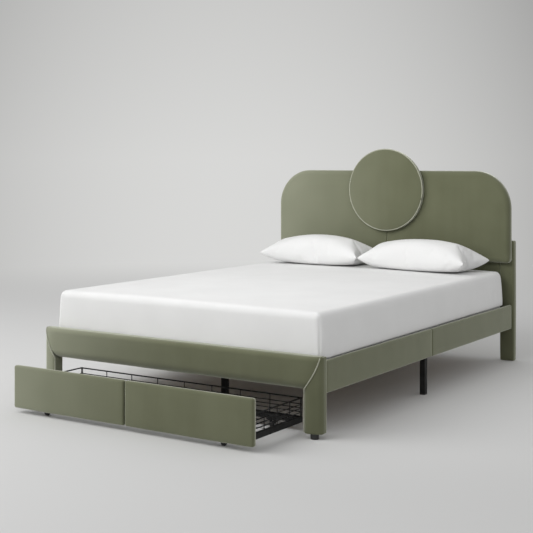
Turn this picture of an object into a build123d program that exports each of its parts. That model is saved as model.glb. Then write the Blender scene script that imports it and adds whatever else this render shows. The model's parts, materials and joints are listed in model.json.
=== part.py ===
from build123d import *
import os
from math import asin, cos, radians, sin

# A full-size upholstered platform bed with one wide wire-basket drawer at the foot.
# X runs across the bed, Y from the foot to the head, Z up from the floor, in millimetres.
# Every piece is drawn with y = 0 on the footboard's front face and moved by foot_y when it is saved,
# so that the frame's origin lies on the floor under the middle of the whole bed.
# The drawer stands pulled out, and closes by drawer_pull.

# Mattress and the room round it
mattress_width = 1372
mattress_length = 1905
mattress_thickness = 227
mattress_crown = 6
mattress_corner = 30
mattress_edge = 26
mattress_side_gap = 11
mattress_foot_gap = 6
mattress_head_gap = 46
deck_height = 248

# Pillows
pillow_width = 622
pillow_depth = 305
pillow_thickness = 163
pillow_station_shares = (-1, -0.86, -0.64, -0.4, 0, 0.4, 0.64, 0.86, 1)
pillow_rise_shares = (0.32, 0.16, 0.04, 0, 0, 0, 0.04, 0.16, 0.32)
pillow_top_shares = (0.38, 0.60, 0.80, 0.95, 1, 0.95, 0.80, 0.60, 0.38)
pillow_depth_shares = (1, 0.975, 0.95, 0.935, 0.93, 0.935, 0.95, 0.975, 1)
pillow_seam_share = 0.35
pillow_sole_share = 0.27
right_pillow_turn = 4
right_pillow_past_middle = 11
right_pillow_headboard_gap = 16
left_pillow_turn = 2
left_pillow_short_of_middle = 9
left_pillow_headboard_gap = 6

# Footboard
footboard_height = 320
footboard_depth = 51
footboard_rail_height = 135
post_width = 75
mitre_cap = 10
footboard_top_round = 16
footboard_roll = 38
footboard_back_round = 4
post_fall = 8
post_outer_round = 16
post_inner_round = 5
post_top_round = 6
front_foot_height = 20
front_foot_diameter = 33
front_foot_inset = 33
front_foot_setback = 22
front_foot_chamfer = 2

# Side rails, in two halves, each a padded board
rail_thickness = 18
rail_height = 125
rail_bottom = 171
rail_round = 6
rail_front_length = 962

# Steel plates, ledges and tubes
plate_thickness = 3
joint_plate_length = 100
joint_plate_height = 108
joint_plate_lift = 7
ledge_leg = 25
ledge_wall = 2
ledge_bracket_gap = 4
bracket_arm = 45
bracket_height = 62
bracket_lift = 7
tube_size = 25
tube_wall = 1.5
side_leg_setback = 37
side_leg_clear_of_slats = 4
glide_height = 6
glide_plug_depth = 18
glide_fit = 0.25

# Centre beam and its legs
beam_width = 30
beam_height = 40
saddle_width = 72
saddle_shelf = 38
centre_leg_setback = 395
flange_length = 80
middle_flange_length = 150

# Slats
slat_count = 12
slat_width = 64
slat_thickness = 18
slat_end_clearance = 5
slat_round = 3
first_slat_setback = 140
last_slat_headroom = 93

# Headboard
head_leg_width = 76
head_leg_depth = 40
head_leg_height = 635
head_leg_overhang = 9
head_leg_round = 5
cushion_bottom = 519
cushion_top = 1004
cushion_thickness = 50
cushion_corner = 200
cushion_heel = 22
cushion_edge = 20
cushion_seam_round = 4
disc_radius = 229
disc_centre_height = 895
disc_edge_thickness = 30
disc_crown = 12
disc_round = 7
lower_panel_top = 600
lower_panel_thickness = 30
lower_panel_setback = 4
lower_panel_round = 4
batten_height = 60
batten_thickness = 18
batten_length = 1040
batten_round = 2
lower_batten_height = 690

# Bolts
bolt_diameter = 8
bolt_clearance = 0.2
bolt_head_flats = 13
bolt_head_height = 5
board_bolt_length = 15
flange_bolt_length = 8
head_bolt_length = 62
bolt_end_room = 1
bolt_edge = 14
cushion_bolt_shares = (1 / 3, 2 / 3)

# Drawer
drawer_pull = 272
drawer_proud = 12
drawer_side_gap = 36
drawer_floor_gap = 20
drawer_front_overlap = 13
drawer_front_thickness = 20
drawer_front_round = 6
drawer_front_split = 6
basket_inset = 24
basket_leg_gap = 10
frame_tube = 20
frame_wall = 1.5
frame_height = 36
basket_headroom = 54
wire = 3.5
rim_wire = 6
rim_round = 2
wall_wire_shares = (0, 0.245, 0.455, 0.665, 1)
side_wall_bays = 4
rear_wall_bays = 8
floor_bays = 30
floor_rows = 8
front_bracket_width = 25
front_bracket_inset = 60
front_bracket_headroom = 38
front_plate_length = 200
front_plate_height = 60
front_plate_headroom = 46

# Casters
caster_inset = 130
wheel_radius = 14
wheel_width = 15
wheel_bevel = 2.5
wheel_rim = 6
wheel_recess = 2
caster_plate_length = 46
caster_plate_width = 28
caster_plate_thickness = 2
caster_cheek_width = 18
caster_cheek_wall = 2
caster_cheek_gap = 0.6
axle_diameter = 5
axle_fit = 0.06
axle_head = 1.5
axle_head_diameter = 8

# Overrun of every cut past the faces it opens
overrun = 5

# Places worked out from the sizes above
rail_inner = mattress_width / 2 + mattress_side_gap
rail_outer = rail_inner + rail_thickness
rail_start = footboard_depth
rail_seam = rail_start + rail_front_length
rail_top = rail_bottom + rail_height
mattress_start = footboard_depth + mattress_foot_gap
mattress_end = mattress_start + mattress_length
head_face = mattress_end + mattress_head_gap
head_back = head_face + head_leg_depth
cushion_face = head_face - cushion_thickness
mattress_top = deck_height + mattress_thickness
slat_bottom = deck_height - slat_thickness
ledge_bottom = slat_bottom - ledge_leg
footboard_rail_bottom = footboard_height - footboard_rail_height
post_inner = rail_outer - post_width
head_leg_outer = rail_outer + head_leg_overhang
head_leg_inner = head_leg_outer - head_leg_width
lower_panel_face = head_face + lower_panel_setback
beam_bottom = slat_bottom - beam_height
bracket_bottom = rail_bottom + bracket_lift
drawer_closed_face = -drawer_proud
drawer_face = drawer_closed_face - drawer_pull
drawer_half_width = post_inner - drawer_side_gap
panel_back = drawer_face + drawer_front_thickness
panel_top = footboard_rail_bottom + drawer_front_overlap
basket_front = panel_back + plate_thickness
basket_half_width = drawer_half_width - basket_inset
basket_back = centre_leg_setback - tube_size / 2 - basket_leg_gap - drawer_pull
frame_top = frame_height + frame_tube
basket_rim_height = footboard_rail_bottom - basket_headroom
front_bracket_top = panel_top - front_bracket_headroom
front_plate_top = panel_top - front_plate_headroom
wheel_x = drawer_half_width - caster_inset - basket_inset
front_wheel_y = basket_front + caster_plate_width / 2
rear_wheel_y = basket_back - caster_plate_width / 2
side_leg_y = rail_seam - side_leg_setback + tube_size / 2
side_leg_x = rail_inner - plate_thickness - tube_size / 2
centre_leg_places = (centre_leg_setback, rail_seam, 2 * rail_seam - centre_leg_setback)
foot_y = -(drawer_face + head_back + bolt_head_height) / 2


def block(x0, x1, y0, y1, z0, z1):
    """A box between its six faces."""
    size = Box(x1 - x0, y1 - y0, z1 - z0)
    return Pos((x0 + x1) / 2, (y0 + y1) / 2, (z0 + z1) / 2) * size


def soft_block(x0, x1, y0, y1, z0, z1, radius):
    """A padded board: a box with every edge rounded."""
    box = block(x0, x1, y0, y1, z0, z1)
    return fillet(box.edges(), radius)


def mirrored(shape):
    """The same piece on the other side of the bed."""
    return mirror(shape, about=Plane.YZ)


def save(name, *solids):
    """Moves a sub-part from the foot's frame to the bed's own and writes it."""
    placed = []
    for solid in solids:
        for single in (Pos(0, foot_y, 0) * solid).solids():
            placed.append(single)
    shape = placed[0] if len(placed) == 1 else Compound(children=placed)
    export_step(shape, f"parts/{name}.step")


def bolt(length):
    """A hexagon bolt, its head standing up from z = 0 and its shank hanging down."""
    across_corners = bolt_head_flats / cos(radians(30))
    head = extrude(RegularPolygon(across_corners / 2, 6), bolt_head_height)
    shank = Pos(0, 0, -length / 2) * Cylinder(bolt_diameter / 2, length)
    return head + shank


def drilled(piece, places, length):
    """The piece with a hole for each bolt of that length."""
    depth = length + bolt_end_room
    hole = Pos(0, 0, (overrun - depth) / 2) * Cylinder(bolt_diameter / 2 + bolt_clearance, depth + overrun)
    for place in places:
        piece = piece - place * hole
    return piece


def facing_inward(x, y, z):
    """A bolt place on the right side, its head towards the middle of the bed."""
    return Location((x, y, z), (0, -90, 0))


def facing_head(x, y, z):
    return Location((x, y, z), (-90, 0, 0))


def facing_foot(x, y, z):
    return Location((x, y, z), (90, 0, 0))


def facing_floor(x, y, z):
    return Location((x, y, z), (180, 0, 0))


def mirrored_places(places):
    """The same bolt places on the left side of the bed."""
    turned = []
    for place in places:
        x, y, z = place.position
        rx, ry, rz = place.orientation
        turned.append(Location((-x, y, z), (rx, -ry, -rz)))
    return turned


def bracket_heights():
    """Two bolts, one near each end of a corner bracket's height."""
    return (bracket_bottom + bolt_edge, bracket_bottom + bracket_height - bolt_edge)


def foot_bracket_rail_bolts():
    x = rail_inner - plate_thickness
    y = rail_start + bracket_arm - bolt_edge
    return [facing_inward(x, y, z) for z in bracket_heights()]


def foot_bracket_post_bolts():
    x = rail_inner - bracket_arm + bolt_edge
    return [facing_head(x, rail_start + plate_thickness, z) for z in bracket_heights()]


def head_bracket_rail_bolts():
    x = rail_inner - plate_thickness
    y = head_face - bracket_arm + bolt_edge
    return [facing_inward(x, y, z) for z in bracket_heights()]


def head_bracket_leg_bolts():
    x = rail_inner - bracket_arm + bolt_edge
    return [facing_foot(x, head_face - plate_thickness, z) for z in bracket_heights()]


def joint_plate_bolts():
    """Three bolts through the joint plate: two in the rear half, one in the front half."""
    x = rail_inner - plate_thickness
    low = rail_bottom + joint_plate_lift + bolt_edge
    high = rail_bottom + joint_plate_lift + joint_plate_height - bolt_edge
    rear = rail_seam + joint_plate_length / 2 - bolt_edge
    front = rail_seam - joint_plate_length / 2 + bolt_edge
    return [facing_inward(x, rear, low), facing_inward(x, rear, high), facing_inward(x, front, high)]


def side_leg_top():
    return slat_bottom - side_leg_clear_of_slats


def side_leg_bolts():
    """Two long bolts through the leg, the joint plate and into the rail."""
    x = side_leg_x - tube_size / 2
    high = side_leg_top() - bolt_edge
    low = rail_bottom + joint_plate_lift + bolt_edge
    return [facing_inward(x, side_leg_y, low), facing_inward(x, side_leg_y, high)]


def side_leg_bolt_length():
    return tube_size + board_bolt_length


def cushion_bolts():
    """Two bolts through a headboard leg into the cushion's board."""
    x = (head_leg_outer + head_leg_inner) / 2
    overlap = head_leg_height - cushion_bottom
    return [facing_head(x, head_back, cushion_bottom + overlap * share) for share in cushion_bolt_shares]


def saddle_bolts(face, towards_head):
    """Two bolts that hold a beam saddle, one each side of the beam."""
    x = (saddle_width / 2 + beam_width / 2) / 2 + plate_thickness / 2
    z = beam_bottom + beam_height / 2
    place = facing_head if towards_head else facing_foot
    return [place(x, face, z), place(-x, face, z)]


def flange_bolts(y, length):
    """Two bolts up through a centre leg's flange into the beam."""
    reach = length / 2 - bolt_edge
    z = beam_bottom - plate_thickness
    return [facing_floor(0, y - reach, z), facing_floor(0, y + reach, z)]


# Footboard

def footboard_section(depth, top):
    """The footboard rail's section across its length: front face, roll and back."""
    bottom = top - footboard_rail_height
    with BuildSketch(Plane.YZ) as section:
        with Locations((depth / 2, (top + bottom) / 2)):
            Rectangle(depth, top - bottom)
        fillet(section.vertices().group_by(Axis.X)[0].sort_by(Axis.Y)[-1], footboard_top_round)
        fillet(section.vertices().group_by(Axis.X)[0].sort_by(Axis.Y)[0], footboard_roll)
        fillet(section.vertices().group_by(Axis.X)[-1], footboard_back_round)
    return section.sketch


def mitre_outline():
    """The front view of the footboard rail, its ends cut along the mitres."""
    mitre_end = rail_outer - mitre_cap
    with BuildSketch(Plane.XZ) as outline:
        with BuildLine():
            Polyline(
                (-mitre_end, footboard_height),
                (mitre_end, footboard_height),
                (post_inner, footboard_rail_bottom),
                (-post_inner, footboard_rail_bottom),
                close=True,
            )
        make_face()
    return outline.sketch


def footboard_top_rail():
    along = extrude(footboard_section(footboard_depth, footboard_height), rail_outer, both=True)
    across = extrude(mitre_outline(), footboard_depth + overrun, both=True)
    corners = foot_bracket_post_bolts()
    places = saddle_bolts(footboard_depth + plate_thickness, True) + corners + mirrored_places(corners)
    return drilled(along & across, places, board_bolt_length)


def footboard_right_post():
    """A post whose front falls back in a barrel, cut along the mitre up to its top."""
    with BuildSketch() as plan:
        with BuildLine():
            TangentArc((post_inner, 0), (rail_outer, post_fall), tangent=(1, 0))
            Line((rail_outer, post_fall), (rail_outer, footboard_depth))
            Line((rail_outer, footboard_depth), (post_inner, footboard_depth))
            Line((post_inner, footboard_depth), (post_inner, 0))
        make_face()
        fillet(plan.vertices().group_by(Axis.X)[-1].sort_by(Axis.Y)[0], post_outer_round)
        fillet(plan.vertices().group_by(Axis.X)[0].sort_by(Axis.Y)[0], post_inner_round)
        fillet(plan.vertices().group_by(Axis.Y)[-1], footboard_back_round)
    column = Pos(0, 0, front_foot_height) * extrude(plan.sketch, footboard_height - front_foot_height)
    column = fillet(column.faces().sort_by(Axis.Z)[-1].edges(), post_top_round)
    rail_space = extrude(mitre_outline(), footboard_depth + overrun, both=True)
    return drilled(column - rail_space, foot_bracket_post_bolts(), board_bolt_length)


def front_foot():
    """A short round foot under a footboard post."""
    foot = Cylinder(front_foot_diameter / 2, front_foot_height)
    foot = chamfer(foot.edges().group_by(Axis.Z)[0], front_foot_chamfer)
    return Pos(rail_outer - front_foot_inset, front_foot_setback, front_foot_height / 2) * foot


# Side rails

def right_rail_front():
    rail = soft_block(rail_inner, rail_outer, rail_start, rail_seam, rail_bottom, rail_top, rail_round)
    rail = drilled(rail, foot_bracket_rail_bolts(), board_bolt_length)
    rail = drilled(rail, joint_plate_bolts(), board_bolt_length)
    return drilled(rail, side_leg_bolts(), side_leg_bolt_length())


def right_rail_rear():
    rail = soft_block(rail_inner, rail_outer, rail_seam, head_face, rail_bottom, rail_top, rail_round)
    rail = drilled(rail, head_bracket_rail_bolts(), board_bolt_length)
    return drilled(rail, joint_plate_bolts(), board_bolt_length)


def rail_joint_plate():
    """The flat steel plate that ties the two halves of the right rail."""
    bottom = rail_bottom + joint_plate_lift
    half = joint_plate_length / 2
    plate = block(
        rail_inner - plate_thickness,
        rail_inner,
        rail_seam - half,
        rail_seam + half,
        bottom,
        bottom + joint_plate_height,
    )
    plate = drilled(plate, joint_plate_bolts(), board_bolt_length)
    return drilled(plate, side_leg_bolts(), side_leg_bolt_length())


def angle_bar(y0, y1):
    """One steel angle on the right rail: the slats lie on its upper leg."""
    upright = block(rail_inner - ledge_wall, rail_inner, y0, y1, ledge_bottom, slat_bottom)
    shelf = block(rail_inner - ledge_leg, rail_inner, y0, y1, slat_bottom - ledge_wall, slat_bottom)
    return upright + shelf


def right_slat_ledges():
    """Two angles, one on each half of the rail, clear of the brackets and the joint plate."""
    clear = bracket_arm + ledge_bracket_gap
    half = joint_plate_length / 2 + ledge_bracket_gap
    front = angle_bar(rail_start + clear, rail_seam - half)
    rear = angle_bar(rail_seam + half, head_face - clear)
    return front, rear


def foot_corner_bracket():
    """A folded steel bracket between the right rail and its footboard post."""
    top = bracket_bottom + bracket_height
    rail_arm = block(
        rail_inner - plate_thickness, rail_inner, rail_start, rail_start + bracket_arm, bracket_bottom, top
    )
    post_arm = block(
        rail_inner - bracket_arm, rail_inner, rail_start, rail_start + plate_thickness, bracket_bottom, top
    )
    bracket = drilled(rail_arm + post_arm, foot_bracket_rail_bolts(), board_bolt_length)
    return drilled(bracket, foot_bracket_post_bolts(), board_bolt_length)


def head_corner_bracket():
    """The same bracket between the right rail and the headboard leg."""
    top = bracket_bottom + bracket_height
    rail_arm = block(
        rail_inner - plate_thickness, rail_inner, head_face - bracket_arm, head_face, bracket_bottom, top
    )
    leg_arm = block(
        rail_inner - bracket_arm, rail_inner, head_face - plate_thickness, head_face, bracket_bottom, top
    )
    bracket = drilled(rail_arm + leg_arm, head_bracket_rail_bolts(), board_bolt_length)
    return drilled(bracket, head_bracket_leg_bolts(), board_bolt_length)


# Legs, beam and slats

def square_tube(height):
    """A square steel tube standing on z = 0."""
    inner = tube_size - 2 * tube_wall
    ring = Rectangle(tube_size, tube_size) - Rectangle(inner, inner)
    return extrude(ring, height)


def glide():
    """A plastic cap with a plug that sits in the end of a square tube."""
    plug_size = tube_size - 2 * tube_wall - 2 * glide_fit
    sole = extrude(Rectangle(tube_size, tube_size), glide_height)
    plug = extrude(Rectangle(plug_size, plug_size), glide_height + glide_plug_depth)
    return sole + plug


def right_side_leg():
    leg = Pos(side_leg_x, side_leg_y, glide_height) * square_tube(side_leg_top() - glide_height)
    return drilled(leg, side_leg_bolts(), side_leg_bolt_length())


def centre_leg(y, length):
    """A square tube with a flat flange that bolts up under the beam."""
    height = beam_bottom - plate_thickness - glide_height
    tube = Pos(0, y, glide_height) * square_tube(height)
    flange = block(
        -beam_width / 2,
        beam_width / 2,
        y - length / 2,
        y + length / 2,
        beam_bottom - plate_thickness,
        beam_bottom,
    )
    return drilled(tube + flange, flange_bolts(y, length), flange_bolt_length)


def beam_half(y0, y1):
    """One half of the centre beam, a hollow steel tube on edge."""
    outer = Rectangle(beam_width, beam_height)
    inner = Rectangle(beam_width - 2 * tube_wall, beam_height - 2 * tube_wall)
    tube = extrude(Plane.XZ * (outer - inner), (y1 - y0) / 2, both=True)
    beam = Pos(0, (y0 + y1) / 2, beam_bottom + beam_height / 2) * tube
    for y in centre_leg_places:
        length = middle_flange_length if y == rail_seam else flange_length
        beam = drilled(beam, flange_bolts(y, length), flange_bolt_length)
    return beam


def beam_saddle(face, depth_sign):
    """A folded saddle: a back plate with a shelf and two cheeks that hold the beam's end."""
    back = face + depth_sign * plate_thickness
    reach = face + depth_sign * saddle_shelf
    y0, y1 = sorted((face, back))
    s0, s1 = sorted((face, reach))
    wall = plate_thickness
    bottom = beam_bottom - wall
    half = beam_width / 2
    plate = block(-saddle_width / 2, saddle_width / 2, y0, y1, bottom, slat_bottom)
    shelf = block(-half - wall, half + wall, s0, s1, bottom, beam_bottom)
    right_cheek = block(half, half + wall, s0, s1, bottom, slat_bottom)
    return drilled(
        plate + shelf + right_cheek + mirrored(right_cheek),
        saddle_bolts(back, depth_sign > 0),
        board_bolt_length,
    )


def slat(index):
    """One pine slat across the bed, its long edges eased."""
    last = head_face - last_slat_headroom
    pitch = (last - first_slat_setback) / (slat_count - 1)
    y = first_slat_setback + index * pitch
    half = rail_inner - slat_end_clearance
    board = block(-half, half, y - slat_width / 2, y + slat_width / 2, slat_bottom, deck_height)
    return fillet(board.edges().filter_by(Axis.X), slat_round)


# Headboard

def headboard_right_leg():
    leg = soft_block(
        head_leg_inner, head_leg_outer, head_face, head_back, 0, head_leg_height, head_leg_round
    )
    leg = drilled(leg, head_bracket_leg_bolts(), board_bolt_length)
    return drilled(leg, cushion_bolts(), head_bolt_length)


def headboard_lower_panel():
    """The padded board between the headboard's legs."""
    panel = soft_block(
        -head_leg_inner,
        head_leg_inner,
        lower_panel_face,
        lower_panel_face + lower_panel_thickness,
        rail_bottom,
        lower_panel_top,
        lower_panel_round,
    )
    saddle = saddle_bolts(lower_panel_face - plate_thickness, False)
    return drilled(panel, saddle, board_bolt_length)


def cushion_outline():
    """The front view of the whole headboard cushion."""
    with BuildSketch(Plane.XZ) as outline:
        with Locations((0, (cushion_bottom + cushion_top) / 2)):
            Rectangle(2 * rail_outer, cushion_top - cushion_bottom)
        fillet(outline.vertices().group_by(Axis.Y)[-1], cushion_corner)
        fillet(outline.vertices().group_by(Axis.Y)[0], cushion_heel)
    return outline.sketch


def headboard_right_cushion():
    """Half of the cushion: a rolled front edge, a round top corner and a tucked seam."""
    whole = Pos(0, head_face, 0) * extrude(cushion_outline(), cushion_thickness)
    whole = fillet(whole.faces().sort_by(Axis.Y)[0].edges(), cushion_edge)
    half = whole & block(0, rail_outer + overrun, 0, head_back, 0, cushion_top + overrun)
    seam_face = half.faces().sort_by(Axis.X)[0]
    seam = [edge for edge in seam_face.edges() if edge.bounding_box().max.Y < head_face]
    half = fillet(seam, cushion_seam_round)
    return drilled(half, cushion_bolts(), head_bolt_length)


def headboard_round_cushion():
    """A turned cushion with a domed face and a crisp edge."""
    crest = disc_edge_thickness + disc_crown
    dome = (disc_radius**2 + disc_crown**2) / (2 * disc_crown)
    half_angle = asin(disc_radius / dome) / 2
    midway = (dome * sin(half_angle), crest - dome + dome * cos(half_angle))
    with BuildSketch(Plane.XY) as half_section:
        with BuildLine():
            Polyline((0, crest), (0, 0), (disc_radius, 0), (disc_radius, disc_edge_thickness))
            ThreePointArc((disc_radius, disc_edge_thickness), midway, (0, crest))
        make_face()
        fillet(half_section.vertices().group_by(Axis.X)[-1].sort_by(Axis.Y)[-1], disc_round)
    turned = revolve(half_section.sketch, Axis.Y)
    return Pos(0, cushion_face, disc_centre_height) * (Rot(0, 0, 180) * turned)


def batten(height):
    """A wooden batten that ties the two cushion halves at the back."""
    bar = block(
        -batten_length / 2,
        batten_length / 2,
        head_face,
        head_face + batten_thickness,
        height - batten_height / 2,
        height + batten_height / 2,
    )
    return fillet(bar.edges().filter_by(Axis.X), batten_round)


# Mattress and pillows

def mattress():
    """A boxed mattress with round corners, soft edges and a top that rises to its middle."""
    half = mattress_width / 2
    crest = mattress_top + mattress_crown
    with BuildSketch(Plane.XZ) as section:
        with BuildLine():
            Polyline((-half, mattress_top), (-half, deck_height), (half, deck_height), (half, mattress_top))
            ThreePointArc((half, mattress_top), (0, crest), (-half, mattress_top))
        make_face()
    body = Pos(0, (mattress_start + mattress_end) / 2, 0) * extrude(
        section.sketch, mattress_length / 2, both=True
    )
    body = fillet(body.edges().filter_by(Axis.Z), mattress_corner)
    body = fillet(body.faces().sort_by(Axis.Z)[-1].edges(), mattress_edge)
    return fillet(body.faces().sort_by(Axis.Z)[0].edges(), mattress_edge)


def pillow_section(x, depth, rise, top):
    """One cross-section of a pillow: a flat sole, lower curves up to the seam and a crowned top."""
    half = depth / 2
    seam = pillow_seam_share * pillow_thickness
    sole = depth * pillow_sole_share
    bulge = (half + sole) / 2 + (half - sole) * pillow_sole_share
    low = rise + (seam - rise) * pillow_sole_share
    with BuildSketch(Plane.YZ.offset(x)) as section:
        with BuildLine():
            ThreePointArc((-half, seam), (0, top), (half, seam))
            ThreePointArc((half, seam), (bulge, low), (sole, rise))
            Line((sole, rise), (-sole, rise))
            ThreePointArc((-sole, rise), (-bulge, low), (-half, seam))
        make_face()
    return section.sketch


def pillow():
    """A stuffed pillow lying on z = 0: thin seamed ends, drawn-in long sides and a full middle."""
    sections = []
    shares = zip(pillow_station_shares, pillow_depth_shares, pillow_rise_shares, pillow_top_shares)
    for station, depth, rise, top in shares:
        sections.append(
            pillow_section(
                station * pillow_width / 2,
                depth * pillow_depth,
                rise * pillow_thickness,
                top * pillow_thickness,
            )
        )
    above = block(
        -pillow_width, pillow_width, -pillow_depth, pillow_depth, 0, pillow_thickness + overrun
    )
    return loft(sections, ruled=True) & above


def pillow_reach(turn):
    """How far a turned pillow reaches from its middle across the bed and along it."""
    angle = radians(turn)
    across = pillow_width / 2 * cos(angle) + pillow_depth / 2 * sin(angle)
    along = pillow_depth / 2 * cos(angle) + pillow_width / 2 * sin(angle)
    return across, along


def right_pillow():
    across, along = pillow_reach(right_pillow_turn)
    x = across - right_pillow_past_middle
    y = cushion_face - right_pillow_headboard_gap - along
    return Pos(x, y, mattress_top + mattress_crown) * (Rot(0, 0, -right_pillow_turn) * pillow())


def left_pillow():
    across, along = pillow_reach(left_pillow_turn)
    x = -across - left_pillow_short_of_middle
    y = cushion_face - left_pillow_headboard_gap - along
    return Pos(x, y, mattress_top + mattress_crown) * (Rot(0, 0, -left_pillow_turn) * pillow())


# Drawer

def drawer_right_front():
    """One padded panel of the drawer's front."""
    return soft_block(
        drawer_front_split / 2,
        drawer_half_width,
        drawer_face,
        panel_back,
        drawer_floor_gap,
        panel_top,
        drawer_front_round,
    )


def drawer_front_joint_plate():
    """The steel plate behind the seam of the two front panels."""
    half = front_plate_length / 2
    bottom = front_plate_top - front_plate_height
    return block(-half, half, panel_back, basket_front, bottom, front_plate_top)


def drawer_front_brackets():
    """Four flat uprights that carry the front panels on the base frame."""
    strips = []
    inner = front_plate_length / 2 + front_bracket_inset
    outer = basket_half_width - front_bracket_inset
    for x in (-outer, -inner, inner, outer):
        strips.append(
            block(
                x - front_bracket_width / 2,
                x + front_bracket_width / 2,
                panel_back,
                basket_front,
                frame_height,
                front_bracket_top,
            )
        )
    return strips


def drawer_base_frame():
    """A welded frame of square steel tube round the drawer's bottom."""
    length = basket_back - basket_front
    middle = (basket_back + basket_front) / 2
    level = frame_height + frame_tube / 2
    outer = Box(2 * basket_half_width, length, frame_tube)
    opening = Box(2 * (basket_half_width - frame_tube), length - 2 * frame_tube, frame_tube + overrun)
    bore = frame_tube - 2 * frame_wall
    hollow = Box(2 * (basket_half_width - frame_wall), length - 2 * frame_wall, bore)
    core = Box(
        2 * (basket_half_width - frame_tube + frame_wall),
        length - 2 * (frame_tube - frame_wall),
        bore,
    )
    return Pos(0, middle, level) * (outer - opening - (hollow - core))


def net(across, up):
    """A flat welded net: wires at the given places each way, as one holed face."""
    width = across[-1] - across[0] + wire
    height = up[-1] - up[0] + wire
    centre = ((across[0] + across[-1]) / 2, (up[0] + up[-1]) / 2)
    face = Pos(*centre) * Rectangle(width, height)
    gaps = []
    for left, right in zip(across, across[1:]):
        for low, high in zip(up, up[1:]):
            gap = Rectangle(right - left - wire, high - low - wire)
            gaps.append(Pos((left + right) / 2, (low + high) / 2) * gap)
    return face - gaps


def evenly(start, end, bays):
    """Wire places from start to end with that many bays between them."""
    return [start + (end - start) * i / bays for i in range(bays + 1)]


def wall_wire_heights():
    """The level wires of a basket wall, from the frame up to the rim."""
    seat = frame_top + wire / 2
    return [seat + (basket_rim_height - seat) * share for share in wall_wire_shares]


def basket_right_wall():
    """The right side of the wire basket, with its thick rim wire."""
    ends = evenly(basket_front + wire / 2, basket_back - wire / 2, side_wall_bays)
    sheet = extrude(Plane.YZ * net(ends, wall_wire_heights()), wire)
    wall = Pos(basket_half_width - wire, 0, 0) * sheet
    rim = block(
        basket_half_width - rim_wire,
        basket_half_width,
        basket_front,
        basket_back,
        basket_rim_height - rim_wire / 2,
        basket_rim_height + rim_wire / 2,
    )
    return wall + fillet(rim.edges().filter_by(Axis.Y), rim_round)


def basket_rear_wall():
    """The back of the wire basket, between the two sides."""
    reach = basket_half_width - rim_wire
    across = evenly(-reach + wire / 2, reach - wire / 2, rear_wall_bays)
    sheet = extrude(Plane.XZ * net(across, wall_wire_heights()), wire)
    wall = Pos(0, basket_back, 0) * sheet
    rim = block(
        -reach,
        reach,
        basket_back - rim_wire,
        basket_back,
        basket_rim_height - rim_wire / 2,
        basket_rim_height + rim_wire / 2,
    )
    return wall + fillet(rim.edges().filter_by(Axis.X), rim_round)


def basket_floor():
    """The net floor, lying on the base frame between the walls."""
    reach = basket_half_width - rim_wire
    across = evenly(-reach + wire / 2, reach - wire / 2, floor_bays)
    deep = evenly(basket_front + wire / 2, basket_back - rim_wire - wire / 2, floor_rows)
    return Pos(0, 0, frame_top) * extrude(net(across, deep), wire)


# Casters

def caster_bracket():
    """A pressed fork: a plate under the frame and two cheeks round the wheel, at x = y = 0."""
    plate_bottom = frame_height - caster_plate_thickness
    half_plate = caster_plate_length / 2
    plate = block(
        -half_plate, half_plate, -caster_plate_width / 2, caster_plate_width / 2, plate_bottom, frame_height
    )
    inner = wheel_width / 2 + caster_cheek_gap
    with BuildSketch(Plane.YZ) as side:
        with Locations((0, wheel_radius)):
            Circle(caster_cheek_width / 2)
        with Locations((0, (wheel_radius + frame_height) / 2)):
            Rectangle(caster_cheek_width, frame_height - wheel_radius)
        with Locations((0, wheel_radius)):
            Circle(axle_diameter / 2, mode=Mode.SUBTRACT)
    cheek = Pos(inner, 0, 0) * extrude(side.sketch, caster_cheek_wall)
    return plate + cheek + mirrored(cheek)


def caster_axle():
    """A riveted pin through both cheeks."""
    inner = wheel_width / 2 + caster_cheek_gap + caster_cheek_wall
    pin = Cylinder(axle_diameter / 2, 2 * inner)
    head = Pos(0, 0, inner + axle_head / 2) * Cylinder(axle_head_diameter / 2, axle_head)
    foot = mirror(head, about=Plane.XY)
    return Pos(0, 0, wheel_radius) * (Rot(0, 90, 0) * (pin + head + foot))


def caster_wheel():
    """A moulded wheel with a bevelled tread and a recessed web on each side."""
    bore = axle_diameter / 2 + axle_fit
    half = wheel_width / 2
    web = half - wheel_recess
    rim = wheel_radius - wheel_rim
    with BuildSketch() as section:
        with BuildLine():
            Polyline(
                (bore, -web),
                (rim, -web),
                (rim, -half),
                (wheel_radius, -half),
                (wheel_radius, half),
                (rim, half),
                (rim, web),
                (bore, web),
                close=True,
            )
        make_face()
        chamfer(section.vertices().group_by(Axis.X)[-1], wheel_bevel)
    turned = revolve(section.sketch, Axis.Y)
    return Pos(0, 0, wheel_radius) * (Rot(0, 0, 90) * turned)


def caster_places():
    """The four casters' places under the front and rear tubes, by name."""
    return {
        "front_left": Pos(-wheel_x, front_wheel_y, 0),
        "front_right": Pos(wheel_x, front_wheel_y, 0),
        "rear_left": Pos(-wheel_x, rear_wheel_y, 0),
        "rear_right": Pos(wheel_x, rear_wheel_y, 0),
    }


def frame_bolts():
    """Every bolt of the bed's frame, each at its hole."""
    board_places = (
        foot_bracket_rail_bolts()
        + foot_bracket_post_bolts()
        + head_bracket_rail_bolts()
        + head_bracket_leg_bolts()
        + joint_plate_bolts()
    )
    board_places = board_places + mirrored_places(board_places)
    board_places = board_places + saddle_bolts(footboard_depth + plate_thickness, True)
    board_places = board_places + saddle_bolts(lower_panel_face - plate_thickness, False)
    leg_places = side_leg_bolts() + mirrored_places(side_leg_bolts())
    cushion_places = cushion_bolts() + mirrored_places(cushion_bolts())
    bolts = [place * bolt(board_bolt_length) for place in board_places]
    bolts += [place * bolt(side_leg_bolt_length()) for place in leg_places]
    bolts += [place * bolt(head_bolt_length) for place in cushion_places]
    for y in centre_leg_places:
        length = middle_flange_length if y == rail_seam else flange_length
        bolts += [place * bolt(flange_bolt_length) for place in flange_bolts(y, length)]
    return bolts


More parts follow.
